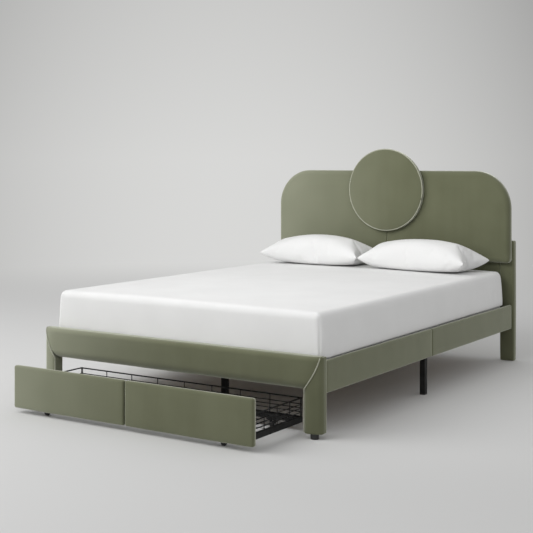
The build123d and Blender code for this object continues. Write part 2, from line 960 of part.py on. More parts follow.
def build_frame():
    """Writes the pieces of the bed's frame."""
    save("footboard_top_rail", footboard_top_rail())
    post = footboard_right_post()
    save("footboard_right_post", post)
    save("footboard_left_post", mirrored(post))
    save("footboard_feet", front_foot(), mirrored(front_foot()))
    for end, rail in (("front", right_rail_front()), ("rear", right_rail_rear())):
        save(f"right_rail_{end}", rail)
        save(f"left_rail_{end}", mirrored(rail))
    plate = rail_joint_plate()
    save("rail_joint_plates", plate, mirrored(plate))
    front_ledge, rear_ledge = right_slat_ledges()
    save("right_slat_ledges", front_ledge, rear_ledge)
    save("left_slat_ledges", mirrored(front_ledge), mirrored(rear_ledge))
    foot_bracket = foot_corner_bracket()
    save("footboard_corner_brackets", foot_bracket, mirrored(foot_bracket))
    head_bracket = head_corner_bracket()
    save("headboard_corner_brackets", head_bracket, mirrored(head_bracket))
    leg = right_side_leg()
    save("right_side_leg", leg)
    save("left_side_leg", mirrored(leg))
    beam_start = rail_start + plate_thickness
    beam_end = lower_panel_face - plate_thickness
    save("centre_beam_front", beam_half(beam_start, rail_seam))
    save("centre_beam_rear", beam_half(rail_seam, beam_end))
    save("centre_beam_saddles", beam_saddle(rail_start, 1), beam_saddle(lower_panel_face, -1))
    names = ("centre_leg_front", "centre_leg_middle", "centre_leg_rear")
    lengths = (flange_length, middle_flange_length, flange_length)
    for name, y, length in zip(names, centre_leg_places, lengths):
        save(name, centre_leg(y, length))
    glides = [Pos(0, y, 0) * glide() for y in centre_leg_places]
    glides += [Pos(side * side_leg_x, side_leg_y, 0) * glide() for side in (-1, 1)]
    save("leg_glides", *glides)
    for index in range(slat_count):
        save(f"slat_{index + 1:02d}", slat(index))
    save("frame_bolts", *frame_bolts())


def build_headboard():
    """Writes the pieces of the headboard."""
    leg = headboard_right_leg()
    save("headboard_right_leg", leg)
    save("headboard_left_leg", mirrored(leg))
    save("headboard_lower_panel", headboard_lower_panel())
    cushion = headboard_right_cushion()
    save("headboard_right_cushion", cushion)
    save("headboard_left_cushion", mirrored(cushion))
    save("headboard_round_cushion", headboard_round_cushion())
    save("headboard_battens", batten(lower_batten_height), batten(disc_centre_height))


def build_bedding():
    """Writes the mattress and the two pillows."""
    save("mattress", mattress())
    save("right_pillow", right_pillow())
    save("left_pillow", left_pillow())


def build_drawer():
    """Writes the pieces of the drawer and its casters."""
    panel = drawer_right_front()
    save("drawer_right_front", panel)
    save("drawer_left_front", mirrored(panel))
    save("drawer_front_joint_plate", drawer_front_joint_plate())
    save("drawer_front_brackets", *drawer_front_brackets())
    save("drawer_base_frame", drawer_base_frame())
    save("basket_floor", basket_floor())
    wall = basket_right_wall()
    save("basket_right_wall", wall)
    save("basket_left_wall", mirrored(wall))
    save("basket_rear_wall", basket_rear_wall())
    places = caster_places()
    save("caster_brackets", *[place * caster_bracket() for place in places.values()])
    save("caster_axles", *[place * caster_axle() for place in places.values()])
    for name, place in places.items():
        save(f"{name}_wheel", place * caster_wheel())


os.makedirs("parts", exist_ok=True)
build_frame()
build_headboard()
build_bedding()
build_drawer()
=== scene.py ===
import json
import math

import bpy
import numpy as np
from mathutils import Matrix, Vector, noise


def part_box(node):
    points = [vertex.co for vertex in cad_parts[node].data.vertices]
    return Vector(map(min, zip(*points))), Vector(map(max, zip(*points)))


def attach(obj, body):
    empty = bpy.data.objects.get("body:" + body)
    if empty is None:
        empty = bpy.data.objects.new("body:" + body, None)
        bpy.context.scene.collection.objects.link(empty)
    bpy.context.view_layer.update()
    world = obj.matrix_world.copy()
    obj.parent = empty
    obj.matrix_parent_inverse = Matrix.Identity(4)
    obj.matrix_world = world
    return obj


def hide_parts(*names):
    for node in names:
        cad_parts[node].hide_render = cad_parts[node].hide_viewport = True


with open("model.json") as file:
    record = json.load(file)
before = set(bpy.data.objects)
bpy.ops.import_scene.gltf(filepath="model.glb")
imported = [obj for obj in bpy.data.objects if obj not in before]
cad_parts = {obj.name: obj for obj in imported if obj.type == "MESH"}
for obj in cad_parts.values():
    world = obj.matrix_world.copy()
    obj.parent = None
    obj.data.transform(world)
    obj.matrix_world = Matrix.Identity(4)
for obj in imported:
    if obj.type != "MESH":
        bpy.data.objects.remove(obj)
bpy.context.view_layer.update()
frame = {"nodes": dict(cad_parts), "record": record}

# Camera, placed by fitting the edges of the bed
camera_place = (2.8471, -4.5122, 1.0624)
camera_yaw = math.radians(33.157)
camera_lens = 75.17
camera_shift = -0.1996

# Light: the world's strength, and each lamp's place, aim, size, power and beam in degrees
world_level = 0.66
key_lamp = ((-2.9, -3.1, 3.1), (0, 0, 0.4), 4.0, 120, 180)
head_lamp = ((0.1, -1.9, 2.2), (0.3, 1.15, 0.85), 1.2, 8.2, 100)

# Colours
velvet_dark = (0.111, 0.117, 0.069)
velvet_light = (0.142, 0.149, 0.092)
# Painted light: paler velvet tones put on the left end, in place of the key lamp and sheen
# falling there
painted_lit_velvet_dark = (0.213, 0.223, 0.158)
painted_lit_velvet_light = (0.255, 0.264, 0.193)
painted_lit_span = (-0.80, 0.20)  # along X, over which painted light fades from the paler left end to the plain velvet
velvet_sheen = (0.90, 0.92, 0.80)
# Painted highlight: a paler velvet for the welts, in place of the sheen along their edges
welt_painted_highlight_dark = (0.30, 0.305, 0.235)
welt_painted_highlight_light = (0.42, 0.425, 0.345)
cotton_white = (0.765, 0.765, 0.76)
ticking_white = (0.70, 0.69, 0.66)
pine_light = (0.66, 0.46, 0.26)
pine_dark = (0.44, 0.27, 0.13)
steel_black = (0.012, 0.012, 0.012)
steel_bare = (0.56, 0.56, 0.56)
plastic_black = (0.016, 0.016, 0.016)

# Velvet: scale and detail of its noises, and the shares in which they mix
patch_noise = (2.2, 2)
cloud_noise = (9, 3)
streak_noise = (15, 3)
streak_stretch = (1.0, 1.0, 0.10)
cloud_share = 0.35
streak_share = 0.30

# Noise values at which a blend of two colours starts and ends
blend_span = (0.32, 0.68)

# Floor: its half width, and the distances between which it turns into the backdrop
floor_grey = (0.66, 0.66, 0.655)
floor_roughness = 0.85
floor_specular = 0.15
floor_reach = 40.0
floor_fade = (2.6, 6.5)

# Backdrop: brightest ahead of the camera, fading to both sides and upwards
backdrop_tint = (1.0, 1.0, 0.985)
backdrop_level = 0.604
backdrop_slope = -0.037  # from left to right
backdrop_bend = -0.138  # towards both sides
backdrop_spread = 4.52
backdrop_end = 1.2  # where the change to the sides stops
backdrop_side = 0.70  # cosine past which the backdrop is even
backdrop_turn = 4.7
backdrop_drop = 0.10  # from the horizon to the top
backdrop_rise = 6.18
horizon_share = 0.778
top_share = -0.4
least_ahead = 0.25

# CAD nodes: edges sharper than this many degrees stay crisp
crisp_angle = 35

# Tubes
tube_sides = 8
least_aside = 0.2  # below it a path counts as upright

# Rounded and padded boards; a padding is its edge's rounding and its crowns along X, Y and Z
end_step_shares = (0.0, 0.10, 0.26, 0.48, 0.74)
round_limit = 0.49  # the most of a side that one rounding takes
crown_power = 4
board_pitch = 0.018
board_ripple = 0.0005
ripple_scale = 9
leg_padding = (0.007, (0.0015, 0.0015, 0))
lower_panel_padding = (0.006, (0, 0.002, 0))
rail_padding = (0.007, (0.0025, 0, 0.001))
drawer_padding = (0.009, (0, 0.003, 0.001))
left_drawer_ends = (-0.006, -0.006)
right_drawer_ends = (-0.006, 0)

# Cushions with a rolled edge
pad_ripple = 0.0018
pad_ripple_scale = 7
roll_steps = 8
face_rings = 44
face_ring_power = 1.15
back_shares = (0.0, 0.35, 0.7, 0.9)
back_insets = (0.25, 0.08)
back_turn = -0.12

# Headboard halves
cushion_pitch = 0.014
cushion_roll = 0.026
cushion_crown = 0.005
cushion_corner = 0.200
padding_ease = 0.070
heel_corner = 0.020
seam_corner = 0.010
seam_roll = 0.007
seam_blend = 0.060
corner_share = 0.75  # the roll's part of a tight corner's radius
corner_spread = 0.35  # its growth away from there

# Round cushion
disc_sides = 132
disc_crown = 0.012
disc_roll = 0.009
disc_inset = 0.003
disc_aside = 0.005
disc_lift = 0.002
disc_welt_sides = 160
disc_welt_section = 10
disc_welt_setback = 0.006
welt_radius = 0.0036

# Footboard
rail_pitches = (0.006, 0.02)  # round its outline and along it
roll_radius = 0.038
top_radius = 0.018
back_radius = 0.005
post_pitches = (0.005, 0.016)
post_fall = 0.018
post_outer_round = 0.016
post_inner_round = 0.016
post_back_round = 0.004
mitre_round = 0.005
mitre_gap = 0.0008
mitre_bow = 1.5
footboard_spread = 1.008
footboard_aside = -0.002
footboard_settle = 0.006
settle_start = 0.030

# Welts of the footboard and the drawer
edge_welt_radius = 0.0024
welt_lay = 0.004
welt_proud = -0.0012
welt_turns = (62, 46, 30, 15)  # degrees over the rail's rounded top
welt_corner = 0.004  # each way from the mitre's lower end
welt_start = 0.006
welt_stop = 0.008
welt_steps = (16, 20, 24)
drawer_welt_corner = 0.006
drawer_welt_pitch = 0.02

# Mattress and fitted sheet
mattress_round = 0.028
mattress_crown = 0.006
mattress_draw = 0.995
mattress_taper = 0.012
mattress_aside = 0.003
core_pitch = (0.03, 0.03, 0.006)
sheet_pitch = (0.012, 0.012, 0.006)
sheet_gap = 0.004
sheet_tuck = 0.060
sole_tolerance = 1e-4
upward = 0.02  # least upward part of a normal that the crown lifts
rail_level = 0.2945
bulge_rise = 0.005
side_bulge = 0.013
bulge_ebb = (0.03, 0.13, 0.7)  # its start below the top, its length and its power
pleat_reach = 0.09
pleat_waves = 95
pleat_lean = 2.5
pleat_depth = 0.0022
slack_scale = 5.5
slack_stretch = 0.4
slack_depth = 0.0016
drift_scale = 2.6
drift_depth = 0.0010
top_drift_depth = 0.0012
corner_crease = 0.005
crease_width = 0.004
crease_reach = 0.02

# Pillows: the flat case that the cloth simulation blows up, and the finished size
case_cells = (64, 34)
case_size = (0.70, 0.42)
case_pull = (0.03, 0.05)
case_lift = 0.012
case_ripple = 0.0025
case_ripple_scale = 3
case_frames = 30
case_cloth = {
    "use_pressure": True,
    "uniform_pressure_force": 9,
    "quality": 6,
    "tension_stiffness": 30,
    "compression_stiffness": 20,
    "shear_stiffness": 12,
    "bending_stiffness": 0.4,
}
pillow_width = 0.646
pillow_depth = 0.305
pillow_taper = 0.36
pillow_seam_share = 0.35
sole_curve = 1.9
sole_gap = 0.0003

# Wire basket
wire_radius = 0.0020
floor_wire_radius = 0.0010
wire_stack = 0.0006
rim_radius = 0.003
rim_sides = 12
floor_bays = 30
floor_rows = 6
side_bays = 4
rear_bays = 8
wall_shares = (0, 0.245, 0.455, 0.665, 1)


# Materials

class Nodes:
    """A material's node tree, with short calls for the nodes that the finishes share."""

    def __init__(self, name):
        self.material = bpy.data.materials.new(name)
        self.material.use_nodes = True
        self.tree = self.material.node_tree
        self.shader = self.tree.nodes["Principled BSDF"]
        self.place = self.add("ShaderNodeTexCoord").outputs["Object"]

    def add(self, kind, **values):
        """A new node, with its properties or its inputs set."""
        node = self.tree.nodes.new(kind)
        for key, value in values.items():
            if hasattr(node, key):
                setattr(node, key, value)
            else:
                node.inputs[key.replace("_", " ").title()].default_value = value
        return node

    def link(self, source, target):
        """Join an output to an input."""
        self.tree.links.new(source, target)

    def stretched(self, scale):
        """The object's coordinates, scaled by one number an axis."""
        node = self.add("ShaderNodeMapping")
        node.inputs["Scale"].default_value = scale
        self.link(self.place, node.inputs["Vector"])
        return node.outputs["Vector"]

    def noise(self, scale, detail, vector=None):
        """Noise of a scale and detail, in the object's coordinates."""
        node = self.add("ShaderNodeTexNoise", Scale=scale, Detail=detail)
        self.link(vector or self.place, node.inputs["Vector"])
        return node.outputs["Fac"]

    def blend(self, factor, low, high):
        """A colour between two, by a factor from a texture."""
        ramp = self.add("ShaderNodeValToRGB")
        for stop, place, colour in zip(ramp.color_ramp.elements, blend_span, (low, high)):
            stop.position = place
            stop.color = (*colour, 1)
        self.link(factor, ramp.inputs["Fac"])
        return ramp.outputs["Color"]

    def mixed(self, share, first, second):
        """Two colours mixed; the share of the second is a number or a texture's value."""
        node = self.add("ShaderNodeMix", data_type="RGBA")
        if isinstance(share, float):
            node.inputs["Factor"].default_value = share
        else:
            self.link(share, node.inputs["Factor"])
        self.link(first, node.inputs["A"])
        self.link(second, node.inputs["B"])
        return node.outputs["Result"]

    def span(self, factor, low, high):
        """A texture's value moved from 0..1 to low..high."""
        node = self.add("ShaderNodeMapRange")
        node.inputs["To Min"].default_value = low
        node.inputs["To Max"].default_value = high
        self.link(factor, node.inputs["Value"])
        return node.outputs["Result"]

    def eased(self, value, span):
        """A value that rises softly from 0 at the span's start to 1 at its end."""
        node = self.add("ShaderNodeMapRange", interpolation_type="SMOOTHSTEP")
        for end, place in zip(("From Min", "From Max"), span):
            node.inputs[end].default_value = place
        self.link(value, node.inputs["Value"])
        return node.outputs["Result"]

    def bump(self, height, strength, distance, below=None):
        """A bump of a strength and depth in metres, on top of another."""
        node = self.add("ShaderNodeBump")
        node.inputs["Strength"].default_value = strength
        node.inputs["Distance"].default_value = distance
        self.link(height, node.inputs["Height"])
        if below:
            self.link(below, node.inputs["Normal"])
        return node.outputs["Normal"]

    def finish(self, colour, normal=None, roughness=None, **sockets):
        """The material, with textures linked and even values set on the shader's own sockets."""
        self.link(colour, self.shader.inputs["Base Color"])
        if normal:
            self.link(normal, self.shader.inputs["Normal"])
        if roughness:
            self.link(roughness, self.shader.inputs["Roughness"])
        for name, value in sockets.items():
            self.shader.inputs[name.replace("_", " ")].default_value = value
        return self.material


def velvet(name, dark, light, painted_light_tones=None):
    """Short-pile velvet with patches, clouds and brush marks, and optionally painted light that
    makes it paler towards the left end.
    """
    n = Nodes(name)
    patches = n.blend(n.noise(*patch_noise), dark, light)
    clouds = n.blend(n.noise(*cloud_noise), dark, light)
    streaks = n.blend(n.noise(*streak_noise, n.stretched(streak_stretch)), dark, light)
    colour = n.mixed(streak_share, n.mixed(cloud_share, patches, clouds), streaks)
    # Painted light: the velvet turns paler towards the left end along X, as if lit more there
    if painted_light_tones:
        across = n.add("ShaderNodeSeparateXYZ")
        n.link(n.place, across.inputs["Vector"])
        pale = n.blend(n.noise(*patch_noise), *painted_light_tones)
        colour = n.mixed(n.eased(across.outputs["X"], painted_lit_span), pale, colour)
    pile = n.bump(n.noise(1400, 2), strength=0.25, distance=0.0006)
    nap = n.bump(n.noise(42, 3), strength=0.10, distance=0.0010, below=pile)
    return n.finish(
        colour,
        nap,
        n.span(n.noise(24, 3), low=0.78, high=0.94),
        Sheen_Weight=1.0,
        Sheen_Roughness=0.40,
        Sheen_Tint=(*velvet_sheen, 1),
        Specular_IOR_Level=0.1,
    )


def weave(n, pitch):
    """Two crossed sets of threads."""
    across = n.add("ShaderNodeTexWave", bands_direction="X", Scale=1 / pitch, Distortion=0.6)
    along = n.add("ShaderNodeTexWave", bands_direction="Y", Scale=1 / pitch, Distortion=0.6)
    for node in (across, along):
        n.link(n.place, node.inputs["Vector"])
    both = n.add("ShaderNodeMath", operation="MULTIPLY")
    n.link(across.outputs["Fac"], both.inputs[0])
    n.link(along.outputs["Fac"], both.inputs[1])
    return both.outputs["Value"]


def cotton():
    """Pressed white cotton with faint creases."""
    n = Nodes("white_cotton")
    shade = tuple(0.96 * value for value in cotton_white)
    colour = n.blend(n.noise(5, 3), shade, cotton_white)
    threads = n.bump(weave(n, pitch=0.0016), strength=0.10, distance=0.0004)
    creases = n.bump(n.noise(11, 5), strength=0.10, distance=0.006, below=threads)
    return n.finish(
        colour,
        creases,
        n.span(n.noise(40, 2), low=0.78, high=0.9),
        Sheen_Weight=0.15,
        Specular_IOR_Level=0.2,
    )


def ticking():
    """The mattress's own knitted cover."""
    n = Nodes("mattress_ticking")
    shade = tuple(0.92 * value for value in ticking_white)
    colour = n.blend(n.noise(220, 2), shade, ticking_white)
    threads = n.bump(weave(n, pitch=0.003), strength=0.3, distance=0.0006)
    return n.finish(colour, threads, None, Roughness=0.9, Sheen_Weight=0.1)


def pine():
    """Planed pine with grain along the board."""
    n = Nodes("pine")
    rings = n.add("ShaderNodeTexWave", bands_direction="Y", Scale=9, Distortion=5, Detail=3)
    n.link(n.stretched((0.35, 3.0, 3.0)), rings.inputs["Vector"])
    colour = n.blend(rings.outputs["Fac"], pine_dark, pine_light)
    pores = n.noise(700, 2, n.stretched((0.05, 1.0, 1.0)))
    grain = n.bump(pores, strength=0.2, distance=0.0005)
    return n.finish(colour, grain, n.span(pores, low=0.5, high=0.7))


def black_steel():
    """Powder-coated steel."""
    n = Nodes("black_steel")
    lighter = tuple(1.8 * value for value in steel_black)
    colour = n.blend(n.noise(35, 3), steel_black, lighter)
    peel = n.bump(n.noise(900, 2), strength=0.15, distance=0.0003)
    gloss = n.span(n.noise(60, 2), low=0.5, high=0.66)
    return n.finish(colour, peel, gloss, Specular_IOR_Level=0.2)


def plain_steel():
    """Zinc-plated steel."""
    n = Nodes("plain_steel")
    darker = tuple(0.8 * value for value in steel_bare)
    colour = n.blend(n.noise(300, 3), darker, steel_bare)
    gloss = n.span(n.noise(120, 2), low=0.28, high=0.45)
    return n.finish(colour, None, gloss, Metallic=1.0)


def black_plastic():
    """Moulded nylon."""
    n = Nodes("black_plastic")
    lighter = tuple(1.7 * value for value in plastic_black)
    colour = n.blend(n.noise(80, 2), plastic_black, lighter)
    grain = n.bump(n.noise(1800, 1), strength=0.12, distance=0.0002)
    return n.finish(colour, grain, n.span(n.noise(90, 2), low=0.42, high=0.58))


finishes = {
    "velvet": velvet("velvet", velvet_dark, velvet_light, (painted_lit_velvet_dark, painted_lit_velvet_light)),
    "white_cotton": cotton(),
    "pine": pine(),
    "black_steel": black_steel(),
    "plain_steel": plain_steel(),
    "black_plastic": black_plastic(),
}
ticking_finish = ticking()
# Painted highlight: the welts get this paler copy of the velvet
welt_painted_highlight_finish = velvet("velvet_welt_painted_highlight", welt_painted_highlight_dark, welt_painted_highlight_light)


def dress_cad_nodes():
    """Every CAD node gets the finish of its material slot."""
    for part in frame["record"]["subparts"]:
        node = frame["nodes"][part["node"]]
        node.data.materials.clear()
        node.data.materials.append(finishes[part["material_slot"]])
        for polygon in node.data.polygons:
            polygon.use_smooth = True
        edges = node.modifiers.new("crisp_edges", "EDGE_SPLIT")
        edges.split_angle = math.radians(crisp_angle)


# Shapes

def placed(name, data):
    """A new object in the scene."""
    thing = bpy.data.objects.new(name, data)
    bpy.context.collection.objects.link(thing)
    return thing


def meshed(name, points, faces):
    """A new mesh object in the scene."""
    mesh = bpy.data.meshes.new(name)
    mesh.from_pydata([tuple(point) for point in points], [], faces)
    return placed(name, mesh)


def built(name, points, faces, slot, body, *replaced, finish=None):
    """A smooth-shaded piece that rides on a body and stands for CAD nodes."""
    piece = meshed(name, points, faces)
    mesh = piece.data
    mesh.materials.append(finish or finishes[slot])
    mesh.polygons.foreach_set("use_smooth", [True] * len(mesh.polygons))
    mesh.update()
    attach(piece, body)
    if replaced:
        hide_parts(*replaced)
    return piece


def corners_of(node):
    """A CAD node's lowest and highest corners."""
    low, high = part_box(node)
    return np.array(low), np.array(high)


def unit(value):
    """A value held between 0 and 1."""
    return min(1.0, max(0.0, value))


def evenly(start, end, bays):
    """Places from start to end with even bays between them."""
    return [start + (end - start) * i / bays for i in range(bays + 1)]


def turns(count):
    """Evenly spaced angles round a circle."""
    return [2 * math.pi * k / count for k in range(count)]


def graded(length, rounding, pitch):
    """Places along a side, close together in its rounded ends."""
    turn = [rounding * share for share in end_step_shares]
    count = max(2, round((length - 2 * rounding) / pitch))
    middle = [rounding + (length - 2 * rounding) * i / count for i in range(count + 1)]
    return turn + middle + [length - step for step in reversed(turn)]


def rounded_box(low, high, rounding, pitch):
    """Points, outward normals and faces of a box with rounded edges."""
    size = high - low
    pitches = pitch if isinstance(pitch, tuple) else (pitch,) * 3
    steps = [
        graded(length, min(rounding, round_limit * length), step)
        for length, step in zip(size, pitches)
    ]
    last = [len(places) - 1 for places in steps]
    index, cells, faces = {}, [], []

    def corner(cell):
        """The number of a grid point, which gets one when it is new."""
        if cell not in index:
            index[cell] = len(cells)
            cells.append(cell)
        return index[cell]

    for axis in range(3):
        a, b = [other for other in range(3) if other != axis]
        for side in (0, last[axis]):
            for i in range(last[a]):
                for j in range(last[b]):
                    ring = []
                    for da, db in ((0, 0), (1, 0), (1, 1), (0, 1)):
                        cell = [0, 0, 0]
                        cell[axis], cell[a], cell[b] = side, i + da, j + db
                        ring.append(corner(tuple(cell)))
                    outward = (side > 0) != (axis == 1)
                    faces.append(ring if outward else ring[::-1])
    raw = np.array([[steps[axis][cell[axis]] for axis in range(3)] for cell in cells])
    radius = np.minimum(rounding, round_limit * size)
    core = np.clip(raw, radius, size - radius)
    lean = raw - core
    lean = lean / np.maximum(np.linalg.norm(lean, axis=1, keepdims=True), 1e-9)
    return low + core + lean * radius, lean, faces


def swell(points, normals, low, high, crowns):
    """How far each point of a padded box stands out: a crown over every face."""
    middle, half = (low + high) / 2, (high - low) / 2
    place = np.clip((points - middle) / half, -1, 1)
    flat = 1 - np.abs(place) ** crown_power
    total = np.zeros(len(points))
    for axis in range(3):
        a, b = [other for other in range(3) if other != axis]
        total += normals[:, axis] ** 2 * crowns[axis] * flat[:, a] * flat[:, b]
    return total


def ripple(points, scale, seed):
    """Smooth unevenness, from -1 to 1, at each point."""
    shift = Vector((seed, seed, seed))
    return np.array([noise.noise(Vector(point) * scale + shift) for point in points])


def padded_board(node, body, rounding, crowns, ends=(0, 0)):
    """A board under tight velvet in its CAD node's place; ends move its two sides along X."""
    low, high = corners_of(node)
    low[0] += ends[0]
    high[0] += ends[1]
    points, normals, faces = rounded_box(low, high, rounding, board_pitch)
    lift = swell(points, normals, low, high, crowns)
    lift += board_ripple * ripple(points, ripple_scale, len(node))
    lift += board_ripple * 0.5 * ripple(points, 3 * ripple_scale, 3)
    piece = built("padded_" + node, points + normals * lift[:, None], faces, "velvet", body, node)


def bridged(rings):
    """Faces between rings of points that run the same way, with both ends filled to a point."""
    count = len(rings[0])
    points = [point for ring in rings for point in ring]
    faces = []
    for r in range(len(rings) - 1):
        for i in range(count):
            j = (i + 1) % count
            faces.append((r * count + i, r * count + j, (r + 1) * count + j, (r + 1) * count + i))
    for start, turned in ((0, False), ((len(rings) - 1) * count, True)):
        points.append(sum((Vector(p) for p in points[start : start + count]), Vector()) / count)
        for i in range(count):
            face = (start + i, len(points) - 1, start + (i + 1) % count)
            faces.append(face[::-1] if turned else face)
    return points, faces


def tube(points, radius, sides=tube_sides, closed=False):
    """A round tube along points."""
    path = [Vector(point) for point in points]
    rings = []
    for i, place in enumerate(path):
        before = path[i - 1] if i or closed else path[i]
        after = path[(i + 1) % len(path)] if i + 1 < len(path) or closed else path[i]
        along = (after - before).normalized()
        first = along.cross(Vector((0, 0, 1)))
        if first.length < least_aside:
            first = along.cross(Vector((1, 0, 0)))
        first.normalize()
        second = along.cross(first)
        rings.append([
            place + radius * (math.cos(a) * first + math.sin(a) * second) for a in turns(sides)
        ])
    if not closed:
        return bridged(rings)
    faces = []
    for r in range(len(rings)):
        for i in range(sides):
            j, q = (i + 1) % sides, (r + 1) % len(rings)
            faces.append((r * sides + i, q * sides + i, q * sides + j, r * sides + j))
    return [point for ring in rings for point in ring], faces


def joined(parts):
    """Several point and face lists as one."""
    points, faces = [], []
    for more, cells in parts:
        start = len(points)
        points += list(more)
        faces += [tuple(start + i for i in cell) for cell in cells]
    return points, faces


def arc_points(centre, radius, start, end, count):
    """Points of an arc with its outward directions, angles in degrees."""
    out = []
    for i in range(count + 1):
        angle = math.radians(start + (end - start) * i / count)
        place = (centre[0] + radius * math.cos(angle), centre[1] + radius * math.sin(angle))
        out.append((place, angle))
    return out


def rounded_outline(x0, x1, z0, z1, radii, pitch):
    """A closed outline with its outward directions, anticlockwise from its lower left corner."""
    places = ((x0, z0, 180), (x1, z0, 270), (x1, z1, 0), (x0, z1, 90))
    signs = ((1, 1), (-1, 1), (-1, -1), (1, -1))
    marks = []
    for (x, z, start), (sx, sz), radius in zip(places, signs, radii):
        centre = (x + sx * radius, z + sz * radius)
        count = max(5, round(radius * math.pi / 2 / pitch))
        marks.append(arc_points(centre, radius, start, start + 90, count))
    outline = []
    for corner, following in zip(marks, marks[1:] + marks[:1]):
        outline += corner
        (ax, az), angle = corner[-1]
        (bx, bz), _ = following[0]
        count = max(1, round(math.hypot(bx - ax, bz - az) / pitch))
        for i in range(1, count):
            outline.append(((ax + (bx - ax) * i / count, az + (bz - az) * i / count), angle))
    return outline


def eased(room):
    """Rises softly from 0 at an edge to 1 where the padding is full."""
    share = unit(room / padding_ease)
    return share * share * (3 - 2 * share)


def ringed_pad(outline, centre, front, back, rolls, crown, seed, fullness):
    """A pad that faces -Y: rolled front edges, a crowned face and a flat back.

    fullness(x, z, share) tells how full the padding is, share being 1 on the face's rim.
    """
    def ring(inset_share, y_share, y):
        """The outline, drawn in and moved back by shares of its rolls."""
        made = []
        for ((x, z), angle), roll in zip(outline, rolls):
            inset = inset_share * roll
            place = (x - math.cos(angle) * inset, y + y_share * roll, z - math.sin(angle) * inset)
            made.append(place)
        return made

    def shrunk(points, share):
        """A ring drawn together towards the pad's centre."""
        cx, cz = centre
        return [(cx + (x - cx) * share, y, cz + (z - cz) * share) for x, y, z in points]

    rings = [shrunk(ring(back_insets[0], 0, back), share) for share in back_shares]
    rings.append(ring(back_insets[1], 0, back))
    rings.append(ring(0, back_turn, back))
    for i in range(roll_steps + 1):
        turn = math.pi / 2 * i / roll_steps
        rings.append(ring(1 - math.cos(turn), 1 - math.sin(turn), front))
    edge = rings[-1]
    for i in range(1, face_rings):
        share = 1 - (i / face_rings) ** face_ring_power
        made = []
        for x, y, z in shrunk(edge, share):
            spot = Vector((x * pad_ripple_scale, seed, z * pad_ripple_scale))
            uneven = pad_ripple * noise.noise(spot)
            made.append((x, y - (crown - uneven) * fullness(x, z, share), z))
        rings.append(made)
    return bridged(rings)


# Headboard

def headboard_half(side):
    """Half of the headboard's cushion: rolled outer edges and a tucked seam at the middle."""
    node = "headboard_left_cushion" if side < 0 else "headboard_right_cushion"
    low, high = corners_of(node)
    seam, outer = (high[0], low[0]) if side < 0 else (low[0], high[0])
    if side < 0:
        corners = (heel_corner, seam_corner, seam_corner, cushion_corner)
    else:
        corners = (seam_corner, heel_corner, cushion_corner, seam_corner)
    left, right = sorted((seam, outer))
    outline = rounded_outline(left, right, low[2], high[2], corners, cushion_pitch)
    tight_corners = (
        (outer, low[2], heel_corner),
        (seam, low[2], seam_corner),
        (seam, high[2], seam_corner),
    )
    rolls = []
    for (x, z), _ in outline:
        near = min(1.0, abs(x - seam) / seam_blend)
        roll = seam_roll + (cushion_roll - seam_roll) * near
        for corner_x, corner_z, rounding in tight_corners:
            away = max(0.0, math.hypot(x - corner_x, z - corner_z) - rounding)
            roll = min(roll, corner_share * rounding + corner_spread * away)
        rolls.append(roll)
    centre = ((seam + outer) / 2, (low[2] + high[2]) / 2)
    round_x, round_z = outer - side * cushion_corner, high[2] - cushion_corner

    def fullness(x, z, share):
        """Empty at the rolled edges and full one padding_ease further in."""
        if side * (x - round_x) > 0 and z > round_z:
            return eased(cushion_corner - math.hypot(x - round_x, z - round_z) - cushion_roll)
        full = eased(abs(x - seam) - seam_roll) * eased(abs(x - outer) - cushion_roll)
        return full * (eased(z - low[2] - cushion_roll) * eased(high[2] - z - cushion_roll))

    front = low[1] + cushion_crown
    points, faces = ringed_pad(
        outline, centre, front, high[1], rolls, cushion_crown, 3 + side, fullness
    )
    piece = built("padded_" + node, points, faces, "velvet", "bed", node)


def headboard_disc():
    """The round cushion with a domed face and a welt round its edge."""
    node = "headboard_round_cushion"
    low, high = corners_of(node)
    centre = ((low[0] + high[0]) / 2 + disc_aside, (low[2] + high[2]) / 2 + disc_lift)
    radius = (high[0] - low[0]) / 2
    front = low[1] + disc_crown
    outline = arc_points(centre, radius - disc_inset, 0, 360, disc_sides)[:-1]
    rolls = [disc_roll] * len(outline)

    def fullness(x, z, share):
        """A dome over the whole face."""
        return 1 - share**crown_power

    points, faces = ringed_pad(outline, centre, front, high[1], rolls, disc_crown, 9, fullness)
    piece = built("padded_" + node, points, faces, "velvet", "bed", node)
    reach = radius - welt_radius
    y = front + disc_welt_setback
    path = [
        (centre[0] + reach * math.cos(a), y, centre[1] + reach * math.sin(a))
        for a in turns(disc_welt_sides)
    ]
    points, faces = tube(path, welt_radius, disc_welt_section, closed=True)
    built("headboard_disc_welt", points, faces, "velvet", "bed", finish=welt_painted_highlight_finish)


# Footboard

def end_inset(distance, rounding):
    """How far an edge rounded like a quarter circle draws in at a distance from its end."""
    if distance >= rounding:
        return 0.0
    return rounding - math.sqrt(max(0.0, rounding**2 - (rounding - distance) ** 2))


def lofted(outline, place, reach_low, reach_high, rounding, pitch, seed):
    """A soft prism between two slanted ends. place(u, v, t) gives a point, t along the prism."""
    longest = max(reach_high(u, v) - reach_low(u, v) for (u, v), _ in outline)
    rings = []
    for step in graded(longest, rounding, pitch):
        inset = end_inset(min(step, longest - step), rounding)
        made = []
        for (u, v), angle in outline:
            low, high = reach_low(u, v), reach_high(u, v)
            t = low + (high - low) * step / longest
            spot = Vector((u * ripple_scale, v * ripple_scale + seed, t * ripple_scale))
            move = board_ripple * noise.noise(spot) - inset
            made.append(Vector(place(u + math.cos(angle) * move, v + math.sin(angle) * move, t)))
        rings.append(made)
    return bridged(rings)


